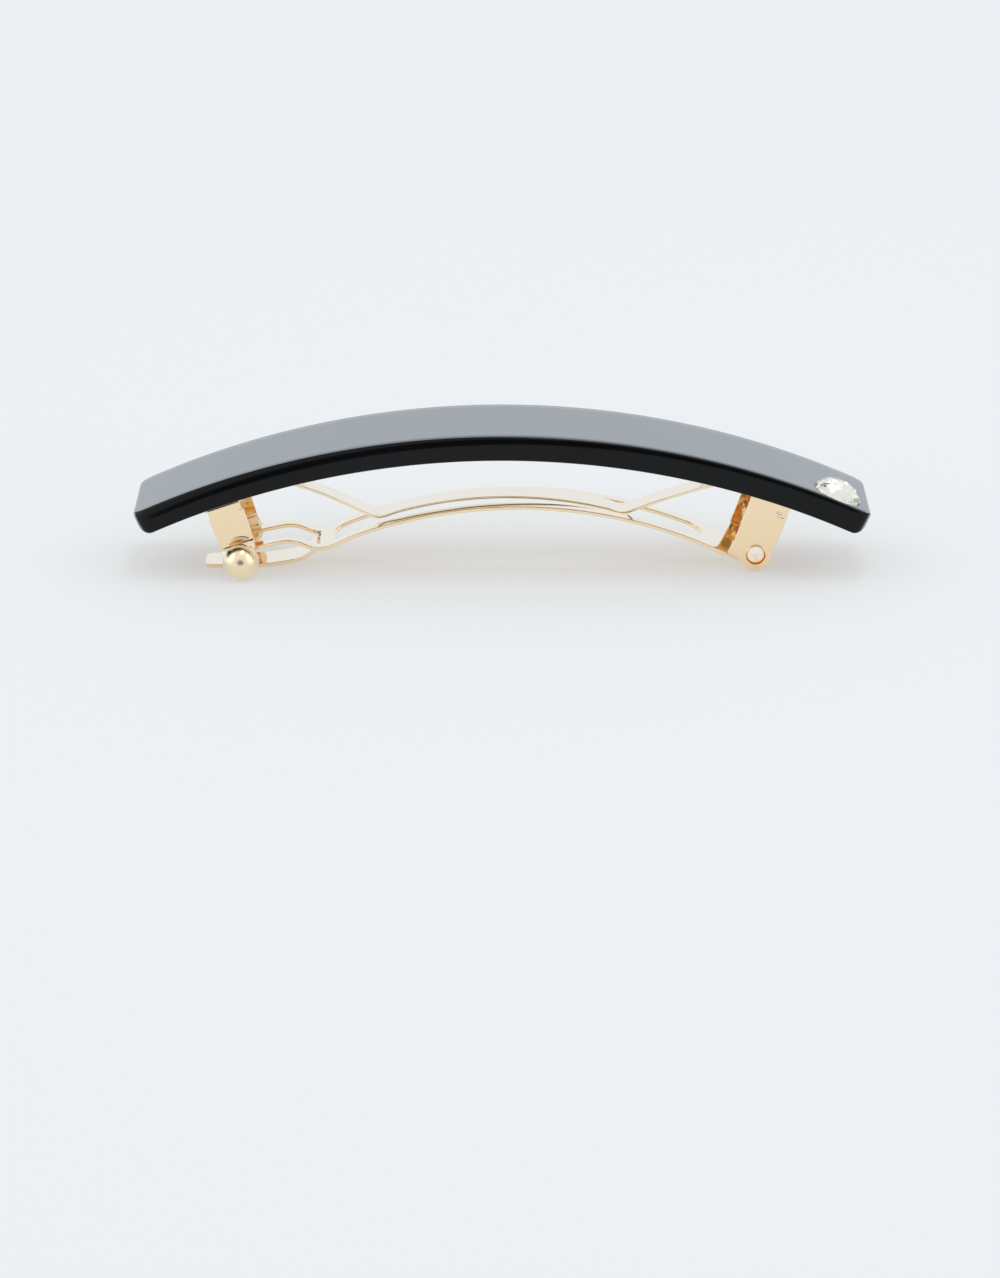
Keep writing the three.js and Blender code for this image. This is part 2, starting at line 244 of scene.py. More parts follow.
def flat_fill(loops):
    """A flat mesh that fills the first loop and leaves the others open."""
    curve = bpy.data.curves.new("fill", "CURVE")
    curve.dimensions = "2D"
    curve.fill_mode = "BOTH"
    for loop in loops:
        spline = curve.splines.new("POLY")
        spline.points.add(len(loop) - 1)
        for slot, point in zip(spline.points, loop):
            slot.co = (point.x, point.y, 0, 1)
        spline.use_cyclic_u = True
    holder = bpy.data.objects.new("fill", curve)
    bpy.context.scene.collection.objects.link(holder)
    mesh = bpy.data.meshes.new_from_object(holder)
    bm = bmesh.new()
    bm.from_mesh(mesh)
    bpy.data.objects.remove(holder)
    bpy.data.curves.remove(curve)
    bpy.data.meshes.remove(mesh)
    bmesh.ops.remove_doubles(bm, verts=bm.verts, dist=1e-5)
    return bm


def cut_flat(bm, origin, normal, reach=None):
    """Cuts a flat pattern along a line, within a reach of its middle."""
    faces = [f for f in bm.faces if reach is None or abs(f.calc_center_median().y) < reach]
    edges = {e for f in faces for e in f.edges}
    verts = {v for f in faces for v in f.verts}
    bmesh.ops.bisect_plane(bm, geom=[*verts, *edges, *faces], dist=1e-5, plane_co=origin,
                           plane_no=normal)


def sheet_metal(name, loops, stations, place, thickness, material, cross=(), bevel=0.07,
                reach=None, flange_cuts=()):
    """A pressed part: a flat pattern, cut at its bend stations, laid on place(u, v) and thickened.

    place gives the point and the outward normal of the face that the pattern describes. The
    stations cut the pattern only within its reach, and leave the flanges beyond it in one piece.
    """
    bm = flat_fill(loops)
    for v in cross:
        cut_flat(bm, Vector((0, v, 0)), Vector((0, 1, 0)))
    for u in flange_cuts:
        cut_flat(bm, Vector((u, 0, 0)), Vector((1, 0, 0)))
    for u in stations:
        cut_flat(bm, Vector((u, 0, 0)), Vector((1, 0, 0)), reach)
    marks_u = set(round(u, 4) for u in [*stations, *flange_cuts])
    marks_v = set(round(v, 4) for v in cross)

    def on_cut(edge):
        a, b = edge.verts[0].co, edge.verts[1].co
        same_u = abs(a.x - b.x) < 1e-4 and any(abs(a.x - m) < 2e-4 for m in marks_u)
        same_v = abs(a.y - b.y) < 1e-4 and any(abs(a.y - m) < 2e-4 for m in marks_v)
        return same_u or same_v

    loose = [e for e in bm.edges if len(e.link_faces) == 2 and not on_cut(e)]
    bmesh.ops.dissolve_edges(bm, edges=loose, use_verts=False)
    top = {}
    under = {}
    solid = bmesh.new()
    for vert in bm.verts:
        point, normal = place(vert.co.x, vert.co.y)
        top[vert] = solid.verts.new(point)
        under[vert] = solid.verts.new(point - normal * thickness)
    for face in bm.faces:
        solid.faces.new([top[v] for v in face.verts])
        solid.faces.new([under[v] for v in reversed(face.verts)])
    for edge in bm.edges:
        if len(edge.link_faces) == 1:
            a, b = edge.verts
            solid.faces.new([top[a], top[b], under[b], under[a]])
    bm.free()
    bmesh.ops.remove_doubles(solid, verts=solid.verts, dist=0.03)
    return to_object(name, solid, material, bevel, clamp=False)


def turned(name, profile, origin, axis, material, segments=64, bevel=0.0):
    """A turned part from a (radius, height) profile about an axis; the profile may be a loop."""
    axis = Vector(axis).normalized()
    side = axis.orthogonal().normalized()
    other = axis.cross(side)
    bm = bmesh.new()
    rings = []
    for radius, height in profile:
        if radius < 1e-6:
            rings.append([bm.verts.new(origin + axis * height)])
            continue
        ring = []
        for i in range(segments):
            a = 2 * math.pi * i / segments
            spoke = side * math.cos(a) + other * math.sin(a)
            ring.append(bm.verts.new(origin + axis * height + spoke * radius))
        rings.append(ring)
    closed = len(rings[0]) > 1 and len(rings[-1]) > 1
    pairs = list(zip(rings, rings[1:])) + ([(rings[-1], rings[0])] if closed else [])
    for low, high in pairs:
        for i in range(segments):
            k = (i + 1) % segments
            if len(low) == 1:
                bm.faces.new([low[0], high[k], high[i]])
            elif len(high) == 1:
                bm.faces.new([low[i], low[k], high[0]])
            else:
                bm.faces.new([low[i], low[k], high[k], high[i]])
    return to_object(name, bm, material, bevel)


def cut_away(obj, cutter):
    """Takes the cutter's shape out of an object and removes the cutter."""
    cut = obj.modifiers.new("cut", "BOOLEAN")
    cut.operation = "DIFFERENCE"
    cut.solver = "EXACT"
    cut.object = cutter
    bake(obj)
    bpy.data.objects.remove(cutter)


# ---- materials -----------------------------------------------------------------------------

def new_material(name):
    material = bpy.data.materials.new(name)
    material.use_nodes = True
    tree = material.node_tree
    return material, tree, tree.nodes["Principled BSDF"]


def add_node(tree, kind, inputs=None, **settings):
    node = tree.nodes.new(kind)
    for key, value in settings.items():
        setattr(node, key, value)
    for key, value in (inputs or {}).items():
        node.inputs[key].default_value = value
    return node


def noise(tree, scale, detail=3.0, roughness=0.5, stretch=(1, 1, 1)):
    """Noise over the object's own coordinates; scale is in features per metre."""
    place = add_node(tree, "ShaderNodeTexCoord")
    mapping = add_node(tree, "ShaderNodeMapping", {"Scale": stretch})
    grain = add_node(tree, "ShaderNodeTexNoise",
                     {"Scale": scale, "Detail": detail, "Roughness": roughness})
    tree.links.new(place.outputs["Object"], mapping.inputs["Vector"])
    tree.links.new(mapping.outputs["Vector"], grain.inputs["Vector"])
    return grain.outputs["Fac"]


def ramp_value(tree, value, low, high, start=0.3, end=0.7):
    """Maps a noise value to the range low to high."""
    span = add_node(tree, "ShaderNodeMapRange",
                    {"From Min": start, "From Max": end, "To Min": low, "To Max": high})
    tree.links.new(value, span.inputs["Value"])
    return span.outputs["Result"]


def bump(tree, shader, value, strength, distance):
    relief = add_node(tree, "ShaderNodeBump", {"Strength": strength, "Distance": distance})
    tree.links.new(value, relief.inputs["Height"])
    tree.links.new(relief.outputs["Normal"], shader.inputs["Normal"])


def plated_gold(name, colour, deep, rough_low, rough_high, wave=0.15):
    """Bright gold plating that pales at a slant, with faint tone changes, a soft rolling wave
    and a fine polishing haze."""
    material, tree, shader = new_material(name)
    tone = add_node(tree, "ShaderNodeMix", data_type="RGBA")
    tree.links.new(ramp_value(tree, noise(tree, 350, 4), 0, 1), tone.inputs["Factor"])
    tone.inputs["A"].default_value = (*colour, 1)
    tone.inputs["B"].default_value = (*deep, 1)
    facing = add_node(tree, "ShaderNodeLayerWeight", {"Blend": 0.5})
    slant = ramp_value(tree, facing.outputs["Facing"], 0, 0.8, 0.4, 0.7)
    pale = add_node(tree, "ShaderNodeMix", data_type="RGBA")
    tree.links.new(slant, pale.inputs["Factor"])
    tree.links.new(tone.outputs["Result"], pale.inputs["A"])
    pale.inputs["B"].default_value = (0.97, 0.93, 0.86, 1)
    tree.links.new(pale.outputs["Result"], shader.inputs["Base Color"])
    haze = noise(tree, 2200, 5, 0.6, (1, 3, 1))
    tree.links.new(ramp_value(tree, haze, rough_low, rough_high), shader.inputs["Roughness"])
    shader.inputs["Metallic"].default_value = 1
    bump(tree, shader, noise(tree, 260, 2), wave, 0.00004)
    return material


def black_acetate():
    """Tumbled black acetate: a deep body colour under a polish that turns grey at a slant."""
    material, tree, shader = new_material("black_acetate")
    tone = add_node(tree, "ShaderNodeMix", data_type="RGBA")
    tree.links.new(ramp_value(tree, noise(tree, 90, 5, 0.6, (1, 2.5, 1)), 0, 1),
                   tone.inputs["Factor"])
    tone.inputs["A"].default_value = (0.0012, 0.0014, 0.0018, 1)
    tone.inputs["B"].default_value = (0.0028, 0.0030, 0.0036, 1)
    tree.links.new(tone.outputs["Result"], shader.inputs["Base Color"])
    shader.inputs["Roughness"].default_value = 0.1
    shader.inputs["IOR"].default_value = 1.29
    polish = add_node(tree, "ShaderNodeBsdfGlossy", {"Color": (0.88, 0.94, 1.0, 1)})
    haze = noise(tree, 1500, 6, 0.65, (1, 4, 1))
    tree.links.new(ramp_value(tree, haze, 0.05, 0.12), polish.inputs["Roughness"])
    facing = add_node(tree, "ShaderNodeLayerWeight", {"Blend": 0.5})
    slant = add_node(tree, "ShaderNodeValToRGB")
    stops = slant.color_ramp.elements
    stops[0].position, stops[0].color = 0.45, (0, 0, 0, 1)
    stops[1].position, stops[1].color = 0.69, (0.38, 0.38, 0.38, 1)
    tree.links.new(facing.outputs["Facing"], slant.inputs["Fac"])
    both = add_node(tree, "ShaderNodeMixShader")
    tree.links.new(slant.outputs["Color"], both.inputs["Fac"])
    tree.links.new(shader.outputs["BSDF"], both.inputs[1])
    tree.links.new(polish.outputs["BSDF"], both.inputs[2])
    tree.links.new(both.outputs["Shader"], tree.nodes["Material Output"].inputs["Surface"])
    relief = add_node(tree, "ShaderNodeBump", {"Strength": 0.1, "Distance": 0.00005})
    tree.links.new(noise(tree, 130, 2, 0.5, (1, 2, 1)), relief.inputs["Height"])
    tree.links.new(relief.outputs["Normal"], polish.inputs["Normal"])
    tree.links.new(relief.outputs["Normal"], shader.inputs["Normal"])
    return material


def cut_crystal():
    material, tree, shader = new_material("cut_crystal")
    shader.inputs["Base Color"].default_value = (1.0, 1.0, 0.985, 1)
    shader.inputs["Transmission Weight"].default_value = 1
    shader.inputs["IOR"].default_value = 1.58
    haze = ramp_value(tree, noise(tree, 900, 3), 0.0, 0.02)
    tree.links.new(haze, shader.inputs["Roughness"])
    return material


def stone_foil():
    """The mirror foil behind the stone's pointed back, faintly champagne."""
    material, tree, shader = new_material("stone_foil")
    tone = add_node(tree, "ShaderNodeMix", data_type="RGBA")
    tree.links.new(ramp_value(tree, noise(tree, 500, 2), 0, 1), tone.inputs["Factor"])
    tone.inputs["A"].default_value = (0.93, 0.93, 0.90, 1)
    tone.inputs["B"].default_value = (0.88, 0.86, 0.76, 1)
    tree.links.new(tone.outputs["Result"], shader.inputs["Base Color"])
    shader.inputs["Metallic"].default_value = 1
    shader.inputs["Roughness"].default_value = 0.04
    return material


ACETATE = black_acetate()
GOLD = plated_gold("plated_gold", (0.98, 0.79, 0.53), (0.97, 0.77, 0.50), 0.04, 0.09)
SPRING_GOLD = plated_gold("spring_gold", (0.98, 0.82, 0.58), (0.97, 0.79, 0.53), 0.05, 0.12)
KNOB_GOLD = plated_gold("knob_gold", (0.99, 0.83, 0.59), (0.98, 0.80, 0.55), 0.22, 0.28, 0.05)
CRYSTAL = cut_crystal()
FOIL = stone_foil()


# ---- the bar and its stone -----------------------------------------------------------------

PLAN_CORNER_R = 2.0
END_TOP_R = 0.55
END_UNDER_R = 1.5
EDGE_R = 0.35
END_ANGLE = math.degrees(math.asin((BAR_HALF_LENGTH - END_TOP_R) / (BAR_TOP_R - END_TOP_R))
                         + END_TOP_R / BAR_UNDER_R)


def rounding(distance, radius):
    """How far a rounded corner has drawn back at a distance from the end."""
    if distance >= radius:
        return 0.0
    return radius - math.sqrt(radius ** 2 - (radius - distance) ** 2)


def bar_section(angle):
    """The outline across the bar at one angle, as (y, height).

    Both long sides lean in towards the top on tall soft curves. The front one is softest at the
    catch end, and crisp at the other.
    """
    gap = math.radians(END_ANGLE - abs(angle)) * BAR_UNDER_R
    half = BAR_HALF_WIDTH - rounding(gap, PLAN_CORNER_R)
    low = rounding(gap, END_UNDER_R)
    high = BAR_THICK - rounding(gap, END_TOP_R)
    worn = min(max((END_ANGLE - angle) / (2 * END_ANGLE), 0), 1)
    back_depth, front_depth = 0.5, 0.3 + 0.7 * worn ** 2
    crown = (high - low) * 0.72
    corners = [(-half, low, EDGE_R, EDGE_R, 180), (half, low, EDGE_R, EDGE_R, 270),
               (half, high, back_depth, crown, 0), (-half, high, front_depth, crown, 90)]
    limit = (high - low) * 0.25
    points = []
    for y, w, depth, rise, start in corners:
        rise = min(rise, limit) if start >= 180 else rise
        centre_y = y - math.copysign(depth, y)
        centre_w = w + rise if start >= 180 else w - rise
        arc = arc_points(0, 0, 1, start, start + 90, 10)
        points += [Vector((centre_y + p.x * depth, centre_w + p.y * rise)) for p in arc]
        if start == 0:
            rim, far = centre_y, -half + front_depth
            points += [Vector((rim + (far - rim) * i / 12, high)) for i in range(1, 12)]
    return points


def acetate_bar():
    reach = math.degrees(PLAN_CORNER_R / BAR_UNDER_R)
    ends = [reach * (i / 14) ** 2 for i in range(15)]
    middle = [-END_ANGLE + reach + (2 * (END_ANGLE - reach)) * i / 96 for i in range(1, 96)]
    angles = [-END_ANGLE + e for e in ends] + middle + [END_ANGLE - e for e in reversed(ends)]
    bm = bmesh.new()
    rings = []
    for angle in angles:
        ring = [bm.verts.new(on_arc(angle, BAR_UNDER_R + p.y, p.x)) for p in bar_section(angle)]
        rings.append(ring)
    for a, b in zip(rings, rings[1:]):
        for i in range(len(a)):
            k = (i + 1) % len(a)
            bm.faces.new([a[i], a[k], b[k], b[i]])
    for ring in (rings[0], rings[-1]):
        inner = sum((v.co for v in ring), Vector()) / len(ring)
        hub = bm.verts.new(inner)
        for i in range(len(ring)):
            bm.faces.new([ring[i], ring[(i + 1) % len(ring)], hub])
    bar = to_object("acetate_bar_polished", bm, ACETATE)
    cut_away(bar, stone_seat())
    bar.data.set_sharp_from_angle(angle=math.radians(35))
    return bar


STONE_ANGLE = 22.7
STONE_LIFT = -0.05
STONE_R = 3.4
STONE_TABLE_R = 2.0
STONE_CROWN = 1.45
STONE_DEPTH = 1.5


def stone_place():
    low, high = box_mm("crystal")
    origin = on_arc(STONE_ANGLE, BAR_TOP_R + STONE_LIFT, (low.y + high.y) / 2)
    return origin, *arc_axes(STONE_ANGLE)


def faceted_crystal():
    """A round brilliant: octagonal table, stars, kites and girdle facets over a foiled point."""
    origin, along, out = stone_place()
    bm = bmesh.new()

    def at(angle, radius, height):
        a = math.radians(angle)
        across = Vector((0, 1, 0)) * (radius * math.sin(a))
        return bm.verts.new(origin + along * (radius * math.cos(a)) + across + out * height)

    top, low = 0.1, -0.05
    star_r = 2.78
    star_h = STONE_CROWN + ((star_r * math.cos(math.pi / 8) - STONE_TABLE_R)
                            * (top - STONE_CROWN) / (STONE_R - STONE_TABLE_R))
    back_r = 1.5
    back_h = low + (STONE_R - back_r * math.cos(math.pi / 8)) / STONE_R * (-STONE_DEPTH - low)
    table = [at(45 * k, STONE_TABLE_R, STONE_CROWN) for k in range(8)]
    stars = [at(45 * k + 22.5, star_r, star_h) for k in range(8)]
    girdle = [at(22.5 * k, STONE_R, top) for k in range(16)]
    under = [at(22.5 * k, STONE_R, low) for k in range(16)]
    backs = [at(45 * k + 22.5, back_r, back_h) for k in range(8)]
    point = at(0, 0, -STONE_DEPTH)
    bm.faces.new(table)
    for k in range(8):
        n, g, h = (k + 1) % 8, 2 * k + 1, (2 * k + 2) % 16
        bm.faces.new([table[k], table[n], stars[k]])
        bm.faces.new([table[k], stars[k], girdle[2 * k], stars[k - 1]])
        bm.faces.new([stars[k], girdle[2 * k], girdle[g]])
        bm.faces.new([stars[k], girdle[g], girdle[h]])
        foiled = [bm.faces.new([point, backs[k - 1], under[2 * k], backs[k]]),
                  bm.faces.new([backs[k], under[2 * k], under[g]]),
                  bm.faces.new([backs[k], under[g], under[h]])]
        for face in foiled:
            face.material_index = 1
    for k in range(16):
        n = (k + 1) % 16
        bm.faces.new([girdle[k], girdle[n], under[n], under[k]])
    obj = to_object("crystal_brilliant", bm, CRYSTAL)
    obj.data.materials.append(FOIL)
    for polygon in obj.data.polygons:
        polygon.use_smooth = False
    return obj


def stone_seat():
    """The pocket in the bar that takes the stone."""
    origin, _, out = stone_place()
    profile = [(0, -STONE_DEPTH - 0.1), (0.5, -STONE_DEPTH - 0.1), (STONE_R + 0.07, -0.1),
               (STONE_R + 0.07, 1), (0, 1)]
    return turned("seat", profile, origin, out, ACETATE, 48)


# ---- the base plate, its pins and the hinge tube ---------------------------------------------

EAR_ANGLE = 18.8
EAR_END_R = 2.2
BASE_HALF_ANGLE = 20.8
EAR_SPAN = (-3.0, 2.5)
RELIEF = 0.3
OUTER_BEND_R = 0.8
TUBE_R = 1.25
TUBE_HOLE_R = 1.33
EAR_U = math.radians(EAR_ANGLE) * BASE_R
BEND_V = BASE_HALF_WIDTH - OUTER_BEND_R
BEND_LENGTH = OUTER_BEND_R * math.pi / 2


def hanging_coords(point, angle):
    """A point as lengths along and down a plate that hangs from the base at an angle."""
    along, out = arc_axes(angle)
    offset = point - on_arc(angle, BASE_UNDER_R, point.y)
    return offset.dot(along), -offset.dot(out)


def bent_down(u, v):
    """Where the flat pattern of the base plate lies once an ear is bent down."""
    side = math.copysign(1, v)
    past = abs(v) - BEND_V
    turn = min(past / OUTER_BEND_R, math.pi / 2)
    drop = OUTER_BEND_R * (1 - math.cos(turn)) + max(past - BEND_LENGTH, 0)
    y = side * (BEND_V + OUTER_BEND_R * math.sin(turn))
    out = arc_axes(EAR_ANGLE)[1]
    point = on_arc(math.degrees(u / BASE_R), BASE_R, y) - out * drop
    normal = out * math.cos(turn) + Vector((0, side * math.sin(turn), 0))
    return point, normal


def place_base(u, v):
    near_ear = EAR_SPAN[0] - RELIEF / 2 < u - EAR_U < EAR_SPAN[1] + RELIEF / 2
    if abs(v) > BEND_V and (near_ear or abs(v) > BASE_HALF_WIDTH + 0.01):
        return bent_down(u, v)
    angle = math.degrees(u / BASE_R)
    return on_arc(angle, BASE_R, v), arc_axes(angle)[1]


def ear_v(depth):
    """The flat pattern's width coordinate at a depth below the base plate's underside."""
    return BEND_V + BEND_LENGTH - OUTER_BEND_R + depth + SHEET


def ear_outline():
    """One ear in the flat pattern, from its left root round the hinge end to its right root."""
    t, d = hanging_coords(HINGE, EAR_ANGLE)
    turn = EAR_ANGLE
    end = [(t + p.x, d - p.y) for p in arc_points(0, 0, EAR_END_R, 205 + turn, 370 + turn, 24)]
    corner = fillet([(EAR_SPAN[0], 0, 0), (EAR_SPAN[0] - 0.1, d + 0.48, 0.5), (*end[0], 0)])
    lower = [(p.x, p.y) for p in corner[1:-1]] + end
    flat = [(EAR_U + a, ear_v(b)) for a, b in lower]
    return ([(EAR_U + EAR_SPAN[0], BEND_V)] + flat
            + [(EAR_U + EAR_SPAN[1], ear_v(5.0)), (EAR_U + EAR_SPAN[1], BEND_V)])


def base_plate():
    left, right = (math.radians(a) * BASE_R for a in (-BASE_HALF_ANGLE, BASE_HALF_ANGLE))
    w = BASE_HALF_WIDTH
    slit_left, slit_right = EAR_U + EAR_SPAN[0] - RELIEF, EAR_U + EAR_SPAN[1] + RELIEF
    side = [(left, w), (slit_left, w), (slit_left, BEND_V), *ear_outline(),
            (slit_right, BEND_V), (slit_right, w), (right, w)]
    loop = [Vector((u, -v)) for u, v in side] + [Vector((u, v)) for u, v in reversed(side)]
    t, d = hanging_coords(HINGE, EAR_ANGLE)
    slot_t, slot_d = hanging_coords(joint_mm("bow_swing"), EAR_ANGLE)
    holes = []
    for s in (-1, 1):
        holes.append(circle(EAR_U + t, s * ear_v(d), TUBE_HOLE_R))
        u, v = EAR_U + slot_t, s * ear_v(slot_d)
        holes.append(fillet([(u - 0.6, v - 0.33, 0.2), (u + 0.6, v - 0.33, 0.2),
                             (u + 0.6, v + 0.33, 0.2), (u - 0.6, v + 0.33, 0.2)], 3))
    stations = [left + (right - left) * i / 72 for i in range(1, 72)]
    levels = [BEND_V + BEND_LENGTH * i / 6 for i in range(7)] + [ear_v(d), ear_v(slot_d)]
    cross = [s * level for s in (-1, 1) for level in levels]
    return sheet_metal("base_plate_pressed", [loop] + holes, stations, place_base, SHEET, GOLD,
                       cross, reach=BEND_V + BEND_LENGTH, flange_cuts=(EAR_U + t, EAR_U + slot_t))


def hinge_tube():
    low, high = box_mm("hinge_tube")
    end = high.y
    face = BASE_HALF_WIDTH + 0.03
    lip = (high.z - low.z) / 2
    bore = 1.1
    outer = [(TUBE_R, 0), (TUBE_R, face), (lip - 0.05, face), (lip, face + 0.1), (lip - 0.06, end),
             (lip - 0.14, end), (bore + 0.03, face - 0.1), (bore, face - 0.5), (bore, 0)]
    profile = outer + [(r, -y) for r, y in reversed(outer[1:-1])]
    origin = Vector((HINGE.x, 0, HINGE.z))
    return turned("hinge_tube_rolled", profile, origin, (0, 1, 0), GOLD, 64, 0.03)


def domed_pin(name, angle, top_r, head_r, head, reach):
    """A pin that stands square on the arc with a domed head under the metal."""
    dome = [(head_r * math.sin(a), -head * math.cos(a) * 0.8 - head * 0.2)
            for a in (math.pi / 2 * i / 8 for i in range(9))]
    shank = head_r * 0.55
    profile = [*dome, (head_r, 0), (shank, 0), (shank, reach), (0, reach)]
    return turned(name, profile, on_arc(angle, top_r), arc_axes(angle)[1], GOLD, 40, 0.03)


# ---- the catch -----------------------------------------------------------------------------

CATCH_ANGLE = -19.38
LEVER_SHEET = 0.45
LEVER_FACE = BASE_HALF_WIDTH + LEVER_SHEET
LEVER_FLARE = 0.9
LEVER_START = 4.5
FOOT_R = 1.8
SHANK_R = 0.6


def catch_bridge():
    half_u = 2.8
    centre = math.radians(CATCH_ANGLE) * BASE_UNDER_R
    w = LEVER_START + 0.15
    loop = fillet([(centre - half_u, -w, 0.3), (centre + half_u, -w, 0.3),
                   (centre + half_u, w, 0.3), (centre - half_u, w, 0.3)], 3)

    def place(u, v):
        angle = math.degrees(u / BASE_UNDER_R)
        return on_arc(angle, BASE_UNDER_R - SEAM - 0.01, v), arc_axes(angle)[1]

    stations = [centre + s for s in (-1.5, 0, 1.5)]
    sheet = LEVER_SHEET - 0.02
    return sheet_metal("catch_bridge_pressed", [loop], stations, place, sheet, GOLD)


def catch_lever(name, side):
    """One springy side plate: from under the base, round a bend and down to the knob's foot."""
    line = Line(bent_line([(LEVER_START, -SEAM), (LEVER_FACE, -SEAM, 0.3), (LEVER_FACE, -6, 0.5),
                           (LEVER_FACE + LEVER_FLARE, -6.9, 0.5),
                           (LEVER_FACE + LEVER_FLARE, -11)]))
    along, out = arc_axes(CATCH_ANGLE)
    origin = on_arc(CATCH_ANGLE, BASE_UNDER_R)
    knob_t, knob_d = hanging_coords(Vector((KNOB.x, 0, KNOB.z)), CATCH_ANGLE)
    below = line.where(-knob_d, 1)
    root = line.where(-1.25, 1)
    neck, flank, ankle = 2.25, 2.5, 2.25

    def place(u, v):
        point, normal = line.at(u)
        outward = Vector((0, side, 0))
        return (origin + along * v + outward * point.x + out * point.z,
                outward * normal.x + out * normal.z)

    foot = [(p.x, p.y, 0) for p in arc_points(below, knob_t, FOOT_R, -85, 85, 20)]
    edge = [(0, neck, 0), (root, neck, 0), (root + 0.25, flank, 0), (below - 1.6, ankle, 0.8)]
    loop = fillet([(u, -v, r) for u, v, r in edge] + foot + list(reversed(edge)))
    hole = circle(below, knob_t, SHANK_R + 0.1)
    stations = line.marks[1:-1] + [root, root + 0.25, below - 1.6, below]
    return sheet_metal(name, [loop, hole], stations, place, LEVER_SHEET, GOLD, [knob_t], 0.04)


def knob(name, side):
    """A polished ball with a flat back, and its peened shank end inside the side plate."""
    back = LEVER_FACE + LEVER_FLARE + 0.03 - KNOB.y
    start = math.asin(back / BALL_R)
    count = 40
    ball = [(BALL_R * math.cos(a), BALL_R * math.sin(a))
            for a in (start + (math.pi / 2 - start) * i / count for i in range(count + 1))]
    ball[-1] = (0, BALL_R)
    inner = BASE_HALF_WIDTH + LEVER_FLARE - 0.03 - KNOB.y
    rim = ball[0][0]
    shank = [(0, inner - 0.22), (0.55, inner - 0.2), (0.85, inner - 0.1), (0.92, inner),
             (SHANK_R, inner), (SHANK_R, back), (rim - 0.12, back), (rim - 0.02, back + 0.06)]
    origin = Vector((KNOB.x, side * KNOB.y, KNOB_LOW.z + BALL_R))
    return turned(name, shank + ball[1:], origin, (0, side, 0), KNOB_GOLD, 96)


# ---- the closing arm -----------------------------------------------------------------------

ARM_HALF_WIDTH = 4.35
ARM_ARC = (2.2, -53.7, 63.1)
CURL_R = 1.65
ARM_SLOPE = 25.6
RAIL_INNER = 2.62
TONGUE_HALF = 2.5
FORK_X = -24.7
WINDOW = (-22.8, 27.2)
TAB_END_X = -40.4
ARM_EAR_R = 2.15
ARM_EAR_SPAN = (30.5, 33.3)
ARM_EAR_FACE = 3.87
INNER_BEND_R = 0.3


def arm_lines():
    arch = arc_points(*ARM_ARC, 111.1, 65.7, 60)
    curl = arc_points(HINGE.x, HINGE.z, CURL_R, 270 - ARM_SLOPE, 330, 14)
    rails = bent_line([(-37, 3.0), (-28.3, 4.85, 1.9), (-24.9, 3.25, 1.6), (-22.5, 4.17)])
    tongue = bent_line([(TAB_END_X, 0.52), (-32.6, 0.52, 2.6), (-27.2, 1.45, 1.3),
                        (-25.0, 3.3, 0.9), (-22.5, 4.17)])
    return Line(rails + arch + curl), Line(tongue)


